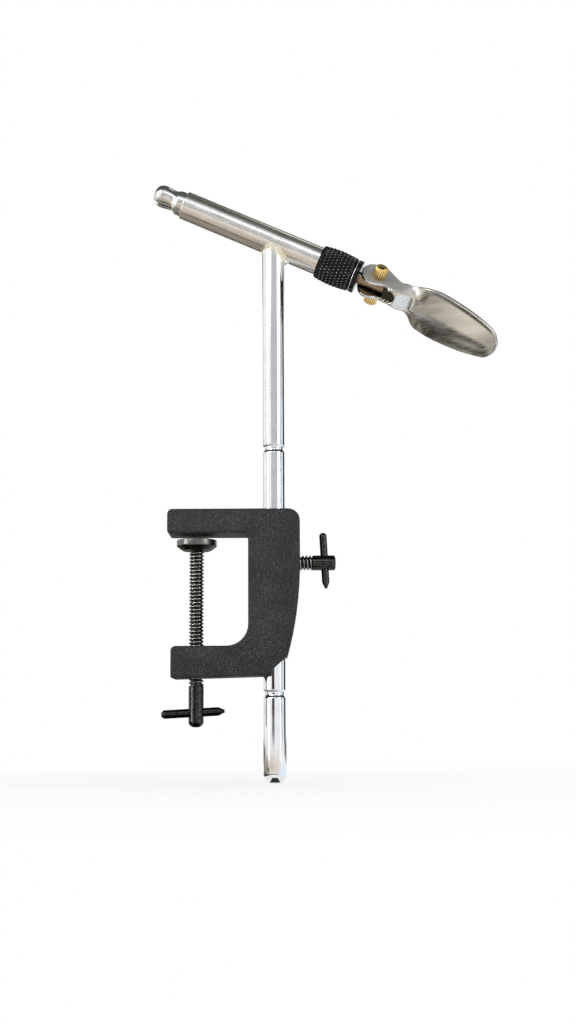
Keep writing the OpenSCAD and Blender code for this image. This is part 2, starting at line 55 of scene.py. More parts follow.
barrelBack = Vector(joints["collar_turn"]["axis"]).normalized()
barrelMouth = Vector(joints["collar_turn"]["pos_m"])
pinAxis = Vector(joints["cam_lever_turn"]["axis"]).normalized()
pinCentre = Vector(joints["cam_lever_turn"]["pos_m"])
headSide = barrelBack.cross(pinAxis).normalized()
leverRest = math.radians(10)
leverBack = math.cos(leverRest) * barrelBack + math.sin(leverRest) * headSide
leverOut = math.cos(leverRest) * headSide - math.sin(leverRest) * barrelBack
stemX = mounts["stem_foot"]["pos_m"][0]
lockZ = joints["lock_screw_turn"]["pos_m"][2]
stemToMouth = (stemX - barrelMouth.x) / barrelBack.x    # metres along the barrel from its mouth to the stem
barrelRise = barrelMouth.z + stemToMouth * barrelBack.z

clampPlace = placed(Vector((0, 0, 0)), alongX, alongY, alongZ)
stemPlace = placed(Vector((stemX, 0, 0)), alongX, alongY, alongZ)
lockPlace = placed(Vector((0, 0, lockZ)), -alongZ, alongY, alongX)
headPlace = placed(barrelMouth, headSide, -pinAxis, barrelBack)
barrelPlace = placed(barrelMouth, -barrelBack.cross(alongY).normalized(), alongY, barrelBack)
leverPlace = placed(pinCentre, leverOut, -pinAxis, leverBack)
slitAlong = Vector(joints["upper_jaw_close"]["axis"]).normalized()
jawPlace = placed(barrelMouth, slitAlong, barrelBack.cross(slitAlong), barrelBack)


# Shapes

def cornerOf(point):
    # A profile's point carries its corner radius, where it has one, as its third number.
    return point[2] if len(point) > 2 else 0


def supported(profile, closed):
    # Adds a point just beside each end of a long line, so that its face shades straight
    longLine, beside = 3.0, 0.25
    out = []
    for point, ahead in zip(profile, profile[1:] + (profile[:1] if closed else [])):
        out.append(point)
        start, end = Vector(point[:2]), Vector(ahead[:2])
        long = (end - start).length
        if long > longLine and start.x > 0 and end.x > 0:
            for away in (cornerOf(point) + beside, long - cornerOf(ahead) - beside):
                out.append(tuple(start.lerp(end, away / long)))
    return out if closed else [*out, profile[-1]]


def bevelled(shape, kind, corners, size, segments):
    bmesh.ops.bevel(shape, geom=corners, offset=size, offset_type="OFFSET", affect=kind, segments=segments,
                    profile=0.5, material=-1)


def roundedCorners(shape, verts, profile, segments):
    rounded = [(vert, point[2]) for vert, point in zip(verts, profile) if len(point) > 2]
    for radius in sorted({size for vert, size in rounded}):
        bevelled(shape, "VERTICES", [vert for vert, size in rounded if size == radius], radius, segments)


def turned(profile, steps, closed=False):
    # Spins a profile of (radius, height) or (radius, height, corner radius) points about Z
    profile = supported(profile, closed)
    shape = bmesh.new()
    points = [shape.verts.new((point[0], 0, point[1])) for point in profile]
    pairs = list(zip(points, points[1:])) + ([(points[-1], points[0])] if closed else [])
    for one, other in pairs:
        shape.edges.new((one, other))
    roundedCorners(shape, points, profile, 4)
    bmesh.ops.spin(shape, geom=shape.verts[:] + shape.edges[:], axis=alongZ, cent=(0, 0, 0), dvec=(0, 0, 0),
                   angle=2 * math.pi, steps=steps, use_merge=True)
    bmesh.ops.remove_doubles(shape, verts=shape.verts, dist=0.0005)
    bmesh.ops.recalc_face_normals(shape, faces=shape.faces)
    return shape


def meshOf(name, shape):
    mesh = bpy.data.meshes.new(name)
    shape.to_mesh(mesh)
    shape.free()
    return mesh


def linked(name, data):
    item = bpy.data.objects.new(name, data)
    bpy.context.scene.collection.objects.link(item)
    return item


def added(shape, other):
    spare = meshOf("spare", other)
    shape.from_mesh(spare)
    bpy.data.meshes.remove(spare)
    return shape


def reshaped(shape, *steps):
    # Runs modifiers on a shape, each given as (kind, settings), and gives the shape that comes out.
    work = linked("work", meshOf("work", shape))
    for kind, settings in steps:
        modifier = work.modifiers.new(kind, kind)
        for name, value in settings.items():
            setattr(modifier, name, value)
    bpy.context.view_layer.update()
    graph = bpy.context.evaluated_depsgraph_get()
    out = bmesh.new()
    out.from_mesh(work.evaluated_get(graph).to_mesh())
    bpy.data.objects.remove(work)
    return out


def carved(shape, *cutters):
    tools = [linked("work", meshOf("work", cutter)) for cutter in cutters]
    out = reshaped(shape, *[("BOOLEAN", {"object": tool, "operation": "DIFFERENCE", "solver": "EXACT"})
                            for tool in tools])
    for tool in tools:
        bpy.data.objects.remove(tool)
    return out


def rod(radius, start, end):
    return turned([(0, start), (radius, start), (radius, end), (0, end)], 96)


def moved(shape, matrix):
    bmesh.ops.transform(shape, matrix=matrix, verts=shape.verts)
    return shape


def plate(outline, low, high, rim=0.0):
    # An outline of (x, z) points, or (x, z, corner radius), made solid from y = low to y = high.
    shape = bmesh.new()
    points = [shape.verts.new((point[0], low, point[1])) for point in outline]
    shape.faces.new(points)
    roundedCorners(shape, points, outline, 8)
    grown = bmesh.ops.extrude_face_region(shape, geom=shape.faces[:])
    far = [item for item in grown["geom"] if isinstance(item, bmesh.types.BMVert)]
    bmesh.ops.translate(shape, verts=far, vec=(0, high - low, 0))
    bmesh.ops.recalc_face_normals(shape, faces=shape.faces)
    if rim:
        edges = [edge for edge in shape.edges if abs(edge.verts[0].co.y - edge.verts[1].co.y) < 0.001]
        bevelled(shape, "EDGES", edges, rim, 3)
    return shape


def rings(circles, steps):
    # Joins circles into a skin that closes on itself. Each is a function from the angle to a point.
    shape = bmesh.new()
    loops = []
    for circle in circles:
        made = bmesh.ops.create_circle(shape, radius=1, segments=steps)["verts"]
        for index, vert in enumerate(made):
            vert.co = circle(2 * math.pi * index / steps)
        edges = {edge for vert in made for edge in vert.link_edges}
        loops.append(sorted(edges, key=lambda edge: edge.index))
    for one, other in zip(loops, loops[1:] + loops[:1]):
        bmesh.ops.bridge_loops(shape, edges=one + other)
    bmesh.ops.recalc_face_normals(shape, faces=shape.faces)
    return shape


def smoothStep(share):
    share = min(max(share, 0.0), 1.0)
    return (1 - math.cos(math.pi * share)) / 2


def readOff(table, place):
    # The value at a place, along a soft curve through the table's (place, value) pairs.
    places = [pair[0] for pair in table]
    values = [pair[1] for pair in table]
    if place <= places[0]:
        return values[0]
    if place >= places[-1]:
        return values[-1]
    index = max(i for i, known in enumerate(places) if known <= place)
    before, after = max(index - 1, 0), min(index + 2, len(places) - 1)
    width = places[index + 1] - places[index]
    slopes = ((values[index + 1] - values[before]) / (places[index + 1] - places[before]),
              (values[after] - values[index]) / (places[after] - places[index]))
    share = (place - places[index]) / width
    ease = share * share * (3 - 2 * share)
    lead = width * share * (1 - share)
    return (values[index] * (1 - ease) + values[index + 1] * ease
            + lead * ((1 - share) * slopes[0] - share * slopes[1]))


def finished(name, shape, place, body, finish, stands, sharp=38):
    # Makes a piece of a shape: its faces shade smoothly up to sharp degrees
    mesh = meshOf(name, shape)
    mesh.transform(place)
    mesh.shade_smooth()
    mesh.set_sharp_from_angle(angle=math.radians(sharp))
    mesh.materials.append(finishes[finish])
    piece = linked(name, mesh)
    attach(piece, body)
    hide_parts(*stands)
    print(f"made {name}: {len(mesh.polygons)} faces")


# Finishes

class Wire:    # a socket that takes part in sums
    def __init__(self, graph, socket):
        self.graph, self.socket = graph, socket

    def __add__(self, other):
        return self.graph.maths("ADD", self, other)

    def __sub__(self, other):
        return self.graph.maths("SUBTRACT", self, other)

    def __rsub__(self, other):
        return self.graph.maths("SUBTRACT", other, self)

    def __mul__(self, other):
        return self.graph.maths("MULTIPLY", self, other)


class Finish:    # a material, built up node by node
    def __init__(self, name, **fixed):
        self.material = bpy.data.materials.new(name)
        self.material.use_nodes = True
        self.tree = self.material.node_tree
        self.shader = self.tree.nodes["Principled BSDF"]
        for socket, value in fixed.items():
            self.shader.inputs[socket.replace("_", " ")].default_value = value
        self.place = self.add("TexCoord", {}, {}, "Object")

    def add(self, kind, settings, inputs, output=0):
        node = self.tree.nodes.new("ShaderNode" + kind)
        for name, value in settings.items():
            if name == "stops":
                ramp = node.color_ramp.elements
                while len(ramp) < len(value):
                    ramp.new(1.0)
                for stop, (position, colour) in zip(ramp, value):
                    stop.position = position
                    stop.color = tuple(colour) + (1.0,)
            else:
                setattr(node, name, value)
        for socket, value in inputs.items():
            if isinstance(value, Wire):
                self.tree.links.new(value.socket, node.inputs[socket])
            else:
                node.inputs[socket].default_value = value
        return Wire(self, node.outputs[output])

    def within(self, place, stretch=(1, 1, 1)):
        # Object coordinates turned into a piece's own frame, in millimetres, and stretched
        back = place.inverted()
        turn = back.to_3x3().normalized()
        local = self.add("Mapping", {"vector_type": "POINT"},
                         {"Vector": self.place, "Rotation": turn.to_euler(), "Scale": (1, 1, 1),
                          "Location": back.translation * millimetre})
        return self.add("Mapping", {"vector_type": "POINT"},
                        {"Vector": local, "Scale": tuple(size / millimetre for size in stretch)})

    def part(self, vector, axis):
        return self.add("SeparateXYZ", {}, {"Vector": vector}, axis)

    def noise(self, vector, scale, detail=3.0, roughness=0.5):
        return self.add("TexNoise", {},
                        {"Vector": vector, "Scale": scale, "Detail": detail, "Roughness": roughness}, "Fac")

    def ramp(self, value, stops):
        return self.add("ValToRGB", {"stops": stops}, {"Fac": value}, "Color")

    def remap(self, value, low, high, fromLow=0.0, fromHigh=1.0):
        return self.add("MapRange", {}, {"Value": value, "From Min": fromLow, "From Max": fromHigh,
                                                   "To Min": low, "To Max": high}, "Result")

    def rising(self, value, start, end):
        return self.remap(value, 0.0, 1.0, start, end)

    def falling(self, value, start, end):
        return self.remap(value, 1.0, 0.0, start, end)

    def layer(self, name):
        return self.add("Attribute", {"attribute_name": name}, {}, "Fac")

    def length(self, vector):
        return self.add("VectorMath", {"operation": "LENGTH"}, {"Vector": vector}, "Value")

    def maths(self, operation, *values):
        return self.add("Math", {"operation": operation}, dict(enumerate(values)))

    def mix(self, share, one, other):
        return self.add("Mix", {"data_type": "RGBA"}, {0: share, 6: one, 7: other}, 2)

    def feed(self, socket, wire):
        self.tree.links.new(wire.socket, self.shader.inputs[socket])

    def bump(self, height, distance, strength):
        self.feed("Normal", self.add("Bump", {}, {"Height": height, "Distance": distance,
                                                            "Strength": strength}, "Normal"))


def wrinklePaint():
    paint = Finish("wrinklePaint", Metallic=0.0, IOR=1.32)
    grains = paint.add("TexVoronoi", {"feature": "SMOOTH_F1"},
                       {"Vector": paint.place, "Scale": 2000.0, "Smoothness": 0.6}, "Distance")
    fine = paint.noise(paint.place, 2700.0, 3.0, 0.6)
    broad = paint.noise(paint.place, 90.0, 2.0)
    height = fine * 0.75 + grains * 0.5
    paint.feed("Base Color", paint.ramp(fine * 0.85 + broad * 0.15,
                                        [(0.36, (0.006, 0.0065, 0.007)), (0.53, (0.021, 0.022, 0.0228)),
                                         (0.68, (0.105, 0.109, 0.112))]))
    paint.feed("Roughness", paint.remap(fine, 0.42, 0.66))
    paint.bump(height, 0.00022, 0.8)
    return paint.material


def blackSteel(name, threadPlace=None, low=0.0, high=0.0):
    # Blackened steel, rubbed bare on the thread's crests between two heights of the screw's own frame; the bare
    # crests are both wear and painted highlights
    crestFrom, crestTo, fade = 2.9, 3.1, 0.3
    black = Finish(name, Metallic=1.0)
    mottle = black.noise(black.place, 700.0, 4.0)
    dark = black.ramp(mottle, [(0.3, (0.020, 0.0195, 0.019)), (0.75, (0.075, 0.073, 0.070))])
    if threadPlace:
        local = black.within(threadPlace)
        height = black.part(local, "Z")
        flat = black.add("VectorMath", {"operation": "MULTIPLY"}, {0: local, 1: (1, 1, 0)}, "Vector")
        away = black.length(flat)
        # Pale crests: wear, and also painted highlights where light catches the thread
        paleShare = (black.rising(away, crestFrom, crestTo) * black.rising(height, low, low + fade)
                * black.falling(height, high - fade, high) * black.remap(mottle, 0.4, 1.0, 0.35, 0.6))
        dark = black.mix(paleShare, dark, (0.42, 0.41, 0.39, 1.0))
    black.feed("Base Color", dark)
    black.feed("Roughness", black.remap(mottle, 0.08, 0.22))
    black.bump(mottle, 0.00003, 0.25)
    return black.material


def padSteel():
    # Dark steel, with painted shade making the cone under the rim darker than the rim
    steel = Finish("padSteel", Metallic=1.0)
    # Painted shade: the cone below the rim is darkened by height
    paleShare = steel.rising(steel.part(steel.within(clampPlace), "Z"), -5.0, -4.5)
    mottle = steel.noise(steel.within(clampPlace, (0.4, 0.4, 1.0)), 3.0)
    steel.feed("Base Color", steel.ramp(paleShare + mottle * 0.2 - 0.1, [(0.2, (0.018, 0.018, 0.016)),
                                                                     (0.8, (0.15, 0.148, 0.14))]))
    steel.feed("Roughness", steel.remap(mottle, 0.2, 0.36))
    steel.bump(mottle, 0.00003, 0.3)
    return steel.material


def shaded(colour, share):
    return tuple(min(1.0, share * part) for part in colour)


def turnedSteel(name, colour, rough, place, fineness):
    # Satin steel with the fine rings of a lathe round the frame's Z axis
    steel = Finish(name, Metallic=1.0)
    grooves = steel.noise(steel.within(place, (0.15, 0.15, 1.0)), fineness)
    mottle = steel.noise(steel.place, 260.0)
    steel.feed("Base Color", steel.ramp(mottle, [(0.3, shaded(colour, 0.86)), (0.7, shaded(colour, 1.06))]))
    steel.feed("Roughness", steel.remap(grooves * 0.6 + mottle * 0.4, rough * 0.7, rough * 1.35))
    steel.bump(grooves, 0.00002, 0.4)
    return steel.material


def drawnPlate(name, colour, rough, place):
    # Plated metal with faint scratches along the frame's Z axis and a slow waviness
    plated = Finish(name, Metallic=1.0)
    scratch = plated.noise(plated.within(place, (1.0, 1.0, 0.03)), 2.4, 4.0, 0.6)
    mottle = plated.noise(plated.place, 180.0)
    plated.feed("Base Color", plated.ramp(mottle, [(0.3, shaded(colour, 0.9)), (0.7, shaded(colour, 1.04))]))
    wave = plated.noise(plated.within(place, (1.0, 1.0, 0.2)), 0.35, 2.0)
    plated.feed("Roughness", plated.remap(scratch, rough * 0.6, rough * 1.6, 0.3, 0.7))
    plated.bump(scratch * 0.1 + wave, 0.0001, 0.3)
    return plated.material


def brushedLever():
    # Steel with slanting hair lines, dull on the outside of the ears, and dark brown inside the fork as painted
    # shade
    lever = Finish("brushedLever", Metallic=1.0)
    slant = leverPlace @ Matrix.Rotation(math.radians(38), 4, "X")
    hairs = lever.noise(lever.within(slant, (1.0, 1.0, 0.05)), 2.6, 5.0, 0.7)
    broad = lever.noise(lever.within(slant, (0.12, 0.12, 0.04)), 1.0, 2.0)
    steel = lever.ramp(hairs * 0.6 + broad * 0.4, [(0.36, (0.42, 0.40, 0.37)), (0.64, (0.82, 0.79, 0.74))])
    local = lever.within(leverPlace)
    outOf, across, along = [lever.part(local, axis) for axis in "XYZ"]
    apart = lever.maths("ABSOLUTE", across)
    # Painted shade: dark brown between the ears, next to the web, where the fork's recess lies in shadow
    inside = (lever.falling(apart, 2.95, 3.15) * lever.falling(outOf, 2.2, 2.8)
              * lever.falling(along, 11.0, 12.5))
    ear = lever.rising(apart, 4.0, 4.2) * lever.falling(along, 12.0, 19.0)
    blasted = lever.mix(ear, steel, (0.29, 0.29, 0.275, 1.0))
    lever.feed("Base Color", lever.mix(inside, blasted, (0.11, 0.085, 0.06, 1.0)))
    lever.feed("Metallic", 1.0 - ear * 0.8)
    lever.feed("Roughness", lever.remap(hairs, 0.13, 0.27, 0.35, 0.65) + ear * 0.33)
    lever.bump(hairs, 0.00002, 0.35)
    return lever.material


def knurledBlack():
    # Black, and bare metal where the mesh's layer of wear and painted glints is 1; the bare knurl tips and the
    # line by the groove are worn and painted highlights at once
    black = Finish("knurledBlack", IOR=1.3)
    worn = black.layer("worn")
    mottle = black.noise(black.place, 900.0)
    paleShare = black.rising(worn, 0.76, 0.94)
    black.feed("Base Color", black.ramp(paleShare, [(0.0, (0.004, 0.004, 0.004)), (1.0, (0.80, 0.80, 0.82))]))
    black.feed("Metallic", paleShare)
    black.feed("Roughness", black.remap(mottle, 0.10, 0.22))
    return black.material


def turnedBrass():
    # Brass with painted shade in the flutes, by the mesh's "crest" layer
    brass = Finish("turnedBrass", Metallic=1.0)
    crest = brass.layer("crest")
    mottle = brass.noise(brass.place, 350.0, 2.0)
    brass.feed("Base Color", brass.ramp(crest * 0.85 + mottle * 0.15,
                                        [(0.15, (0.34, 0.17, 0.035)), (0.6, (0.93, 0.66, 0.27))]))
    brass.feed("Roughness", brass.remap(mottle, 0.2, 0.3))
    return brass.material


def brazedBead():
    bead = Finish("brazedBead", Metallic=1.0)
    lumps = bead.noise(bead.place, 900.0)
    bead.feed("Base Color", bead.ramp(lumps, [(0.3, (0.72, 0.68, 0.54)), (0.7, (0.97, 0.95, 0.86))]))
    bead.feed("Roughness", bead.remap(lumps, 0.18, 0.4))
    bead.bump(lumps, 0.0002, 0.5)
    return bead.material


finishes = {
    "paint": wrinklePaint(),
    "black": blackSteel("blackSteel"),
    "clampThread": blackSteel("clampThread", clampPlace, -63.0, -6.0),
    "lockThread": blackSteel("lockThread", lockPlace, 38.0, 48.6),
    "pad": padSteel(),
    "chrome": drawnPlate("stemChrome", (0.86, 0.87, 0.89), 0.07, stemPlace),
    "nickel": drawnPlate("barrelNickel", (0.76, 0.735, 0.70), 0.23, barrelPlace),
    "bead": brazedBead(),
    "collar": knurledBlack(),
    "jaw": turnedSteel("jawSteel", (0.72, 0.72, 0.70), 0.19, headPlace, 9.0),
    "rod": turnedSteel("rodSteel", (0.30, 0.215, 0.15), 0.16, headPlace, 9.0),
    "inner": turnedSteel("innerSteel", (0.5, 0.5, 0.5), 0.3, headPlace, 14.0),
    "lever": brushedLever(),
    "brass": turnedBrass(),
}
print("finishes made")

# The cast frame: an outline in x and z, rounded at its front and back edges, and drilled
casting = {"halfDepth": 9.0, "rim": 0.9, "boreR": 4.8, "screwR": 3.22, "lockHoleEnd": 60,
           "boreFrom": -70, "boreTo": 20, "clampHoleFrom": -65, "clampHoleTo": -45,
           "edgeX": 43.6, "taper": 5.4, "taperTop": -11.9, "taperLen": 39.3, "taperSteps": 8,
           "upperArm": [(-12.0, 0.0, 1.3), (-12.0, 10.3, 2.2), (43.6, 10.3, 5.0)],
           "lowerArm": [(29.0, -59.4), (-10.2, -60.4, 1.25), (-10.2, -47.0, 2.0)],
           "throat": [(21.9, -47.0, 9.0), (21.9, 0.0, 1.2)]}


def spineEdge():
    c = casting
    shares = [i / c["taperSteps"] for i in range(c["taperSteps"] + 1)]
    return [(c["edgeX"] - c["taper"] * share ** 2, c["taperTop"] - c["taperLen"] * share)
            for share in shares]


def castFrame():
    c = casting
    outline = [*c["upperArm"], *spineEdge(), *c["lowerArm"], *c["throat"]]
    shape = plate(outline, -c["halfDepth"], c["halfDepth"], c["rim"])
    stemBore = moved(rod(c["boreR"], c["boreFrom"], c["boreTo"]),
                     Matrix.Translation((stemX / millimetre, 0, 0)))
    lockHole = moved(rod(c["screwR"], stemX / millimetre, c["lockHoleEnd"]),
                     Matrix.Translation((0, 0, lockZ / millimetre)) @ Matrix.Rotation(math.pi / 2, 4, "Y"))
    return carved(shape, stemBore, lockHole, rod(c["screwR"], c["clampHoleFrom"], c["clampHoleTo"]))


finished("castFrame", castFrame(), clampPlace, "frame_body", "paint",
         ["clamp_frame"])

# Both screws have a real helical thread on a plain core.
thread = {"pitch": 1.5, "depth": 0.8, "turnSteps": 28, "halfShare": 0.48, "rootIn": 0.12, "crestIn": 0.02,
          "crestRound": 0.22, "crestHalf": 0.3, "crestAngles": range(-75, 76, 25)}


def helix(radius, start, turns):
    t = thread
    shape = bmesh.new()
    half = t["halfShare"] * t["pitch"]
    root = radius - t["depth"] - t["rootIn"]
    turnsOver = [math.radians(angle) for angle in t["crestAngles"]]
    crest = [(radius - t["crestRound"] * (1 - math.cos(turn)) - t["crestIn"],
              t["crestHalf"] * math.sin(turn)) for turn in turnsOver]
    verts = [shape.verts.new((x, 0, start + half + z)) for x, z in [(root, -half), *crest, (root, half)]]
    face = shape.faces.new(verts)
    bmesh.ops.spin(shape, geom=[face, *face.edges, *face.verts], axis=alongZ, cent=(0, 0, 0),
                   dvec=(0, 0, t["pitch"] / t["turnSteps"]), angle=2 * math.pi * turns,
                   steps=int(t["turnSteps"] * turns))
    bmesh.ops.recalc_face_normals(shape, faces=shape.faces)
    return shape


spindle = {"radius": 3.175, "end": -80.4, "domeR": 1.5, "domeLow": 0.12, "domeHigh": 1.3, "shoulder": -63.3,
           "runOut": 0.2, "top": -6.7, "neckR": 2.1, "headLow": -3.5, "headR": 3.6, "headHigh": -2.6,
           "turns": 37.0, "steps": 96}


def clampSpindle():
    s = spindle
    core = s["radius"] - thread["depth"]
    body = turned([(0, s["end"]), (s["domeR"], s["end"] + s["domeLow"], 0.5),
                   (s["radius"], s["end"] + s["domeHigh"], 0.9), (s["radius"], s["shoulder"], 0.12),
                   (core, s["shoulder"] + s["runOut"]), (core, s["top"], 0.1), (s["neckR"], s["top"]),
                   (s["neckR"], s["headLow"]), (s["headR"], s["headLow"]), (s["headR"], s["headHigh"], 0.3),
                   (0, s["headHigh"])], s["steps"])
    return added(body, helix(s["radius"], s["shoulder"] - s["runOut"], s["turns"]))


finished("clampSpindle", clampSpindle(), clampPlace, "clamp_screw_body",
         "clampThread", ["clamp_screw"])

lockPin = {"radius": 3.175, "tip": 37.65, "pointLen": 1.2, "shoulder": 48.9, "runOut": 0.2, "end": 58.8,
           "rimWide": 0.8, "rimLow": 0.75, "rimHigh": 0.2, "turns": 6.6, "steps": 96}


def lockSpindle():
    s = lockPin
    core = s["radius"] - thread["depth"]
    body = turned([(0, s["tip"]), (core, s["tip"], 0.3), (core, s["shoulder"] - s["runOut"]),
                   (s["radius"], s["shoulder"], 0.15), (s["radius"], s["end"] - s["rimLow"], 0.2),
                   (s["radius"] - s["rimWide"], s["end"] - s["rimHigh"], 0.2), (0, s["end"])], s["steps"])
    return added(body, helix(s["radius"], s["tip"] + s["pointLen"], s["turns"]))


finished("lockSpindle", lockSpindle(), lockPlace, "lock_screw_body", "lockThread",
         ["lock_screw"])

# The two cross bars run along Z, chamfered where they start and pinched flat across x where they end.
barEnds = {"chamfer": 0.9, "chamferLen": 0.95, "pinchLen": 3.0, "pinchRows": 6, "narrowed": 0.58,
           "widened": 0.06, "rim": 0.18, "steps": 64}
bars = {"clamp": {"radius": 1.8, "start": -14.45, "end": 11.95, "centre": (0, 0, -0.0743)},
        "lock": {"radius": 1.6, "start": -12.8, "end": 10.8, "centre": (0.054, 0, lockZ)}}


def crossBar(radius, start, end):
    b = barEnds
    rows = [(radius, end - b["pinchLen"] * (1 - i / b["pinchRows"])) for i in range(b["pinchRows"] + 1)]
    shape = turned([(0, start), (radius - b["chamfer"], start, 0.15),
                    (radius, start + b["chamferLen"], 0.4), *rows, (0, end)], b["steps"])
    for vert in shape.verts:
        share = smoothStep((vert.co.z - end + b["pinchLen"]) / b["pinchLen"])
        vert.co.x *= 1 - b["narrowed"] * share
        vert.co.y *= 1 + b["widened"] * share
    rimEdges = [edge for edge in shape.edges if all(vert.co.z > end - 0.001 for vert in edge.verts)
                and max(vert.co.xy.length for vert in edge.verts) > 0.3 * radius
                and min(vert.co.xy.length for vert in edge.verts) > 0.01]
    bevelled(shape, "EDGES", rimEdges, b["rim"], 2)
    return shape


for screw, bar in bars.items():
    downBar = Vector(joints[f"{screw}_bar_slide"]["axis"]).normalized()
    barPlace = placed(Vector(bar["centre"]), alongY.cross(downBar).normalized(), alongY, downBar)
    finished(f"{screw}Bar", crossBar(bar["radius"], bar["start"], bar["end"]), barPlace, f"{screw}_bar_body",
             "black", [f"{screw}_tommy_bar"])

# The pad's cup: rim, cone and dish
cup = {"holeR": 2.2, "footR": 5.84, "rimR": 8.5, "dishR": 6.2, "footZ": -6.6, "coneZ": -4.7, "dishZ": -3.6,
       "rimZ": -2.1, "steps": 128}


def padCup():
    c = cup
    return turned([(c["holeR"], c["footZ"]), (c["footR"], c["footZ"], 0.35), (c["rimR"], c["coneZ"], 0.3),
                   (c["rimR"], c["rimZ"], 0.35), (c["dishR"], c["rimZ"], 0.2), (c["dishR"], c["dishZ"]),
                   (c["holeR"], c["dishZ"])], c["steps"], closed=True)


finished("padCup", padCup(), clampPlace, "pad_body", "pad", ["pressure_pad"])

# The stem, with its two stop grooves, coped where it meets the barrel
stemRod = {"radius": 4.75, "foot": -103.5, "footR": 2.5, "footLow": 0.1, "footHigh": 2.3,
           "grooves": (-66.8, 36.9), "grooveWide": 3.2, "grooveDeep": 0.75, "copeR": 6.22, "copeHalf": 80,
           "steps": 160}


def stemShape():
    s = stemRod
    top = barrelRise / millimetre
    floorR = s["radius"] - s["grooveDeep"]
    wide = s["grooveWide"]
    profile = [(0, s["foot"]), (s["footR"], s["foot"] + s["footLow"], 0.9),
               (s["radius"], s["foot"] + s["footHigh"], 1.6)]
    for middle in s["grooves"]:
        profile += [(s["radius"], middle - wide / 2, 0.25), (floorR, middle - wide / 8, 0.3),
                    (floorR, middle + wide / 3, 0.12), (s["radius"], middle + wide / 2, 0.12)]
    profile += [(s["radius"], top), (0, top)]
    cope = moved(rod(s["copeR"], -s["copeHalf"], s["copeHalf"]), Matrix.Translation((0, 0, top))
                 @ Matrix.Rotation(math.atan2(barrelBack.x, barrelBack.z), 4, "Y"))
    return carved(turned(profile, s["steps"]), cope)


finished("stemRod", stemShape(), stemPlace, "stem_body", "chrome", ["stem"])

# The barrel tube, with its coned mouth and its thinner threaded end under the collar
tube = {"radius": 6.2, "boreR": 4.75, "mouthR": 5.51, "coneLen": 4.05, "extraRings": (30, 55),
        "threadFrom": 68.0, "threadIn": 0.3, "length": 79.5, "steps": 160}


def tubeShape():
    t = tube
    threadR = t["radius"] - t["threadIn"]
    return turned([(t["mouthR"], 0, 0.06), (t["radius"], 0, 0.22),
                   *[(t["radius"], along) for along in t["extraRings"]],
                   (t["radius"], t["threadFrom"], 0.2), (threadR, t["threadFrom"]),
                   (threadR, t["length"], 0.2), (t["boreR"], t["length"]), (t["boreR"], t["coneLen"])],
                  t["steps"], closed=True)


finished("barrelSleeve", tubeShape(), barrelPlace, "stem_body", "nickel",
         ["barrel_tube"])

# The brazed bead: a hollow fillet that follows the joint, fuller on its lower side. Each ripple is a
# height, a number of waves and a shift.
bead = {"stemR": 4.72, "tubeR": 6.18, "least": 1.3, "wider": 1.3, "higher": 2.1, "inside": 0.3,
        "ripples": ((0.10, 9, 1.0), (0.06, 17, 0.0)), "steps": 120, "rows": 8}


def beadPoint(angle, row):
    b = bead
    full = (1 + math.cos(angle)) / 2
    ripple = sum(height * math.sin(waves * angle + shift) for height, waves, shift in b["ripples"])
    wide = b["least"] + b["wider"] * full ** 2 + ripple
    high = b["least"] + b["higher"] * full ** 2 + ripple
    share = min(row / b["rows"], 1.0) * math.pi / 2
    radius = b["stemR"] + wide * (1 - math.cos(share))
    drop = high * (1 - math.sin(share))
    if row > b["rows"]:    # the hidden edge, inside the joint
        radius, drop = b["stemR"] - b["inside"], -b["inside"]
    x, y = radius * math.cos(angle), radius * math.sin(angle)
    roof = math.sqrt(max(b["tubeR"] ** 2 - y * y, 0.0))
    return Vector((x, y, barrelRise / millimetre + (x * barrelBack.z - roof) / barrelBack.x - drop))


beadShape = rings([lambda angle, row=row: beadPoint(angle, row) for row in range(bead["rows"] + 2)],
                  bead["steps"])
finished("beadFillet", beadShape, stemPlace, "stem_body", "bead", ["braze_bead"], 60)

# The collar: a diamond knurl between a smooth lip and a plain ring
collar = {"front": 64.5, "rear": 83.0, "endR": 7.2, "crown": 0.8, "crownFrom": 15, "crownSweep": 150,
          "knurlFrom": 65.4, "knurlTo": 80.0, "around": 33, "pitch": 3.435, "deep": 0.5, "fade": 0.5,
          "grooveIn": 0.5, "grooveHalf": 0.4, "grooveWornGlint": 0.9, "wornGlintHalf": 0.12, "frontR": 6.3,
          "threadR": 5.99, "threadFrom": 69.5, "rodHoleR": 2.9, "wall": 2.0, "rows": 68, "steps": 264}


def knurlHeight(angle, along):
    # From 0 along the grooves, which lean both ways round the collar, to 1 on the diamonds' points
    turns = collar["around"] * angle / (2 * math.pi)
    lean = along / collar["pitch"]
    return min(abs((turns + lean) % 1 - 0.5), abs((turns - lean) % 1 - 0.5)) * 2


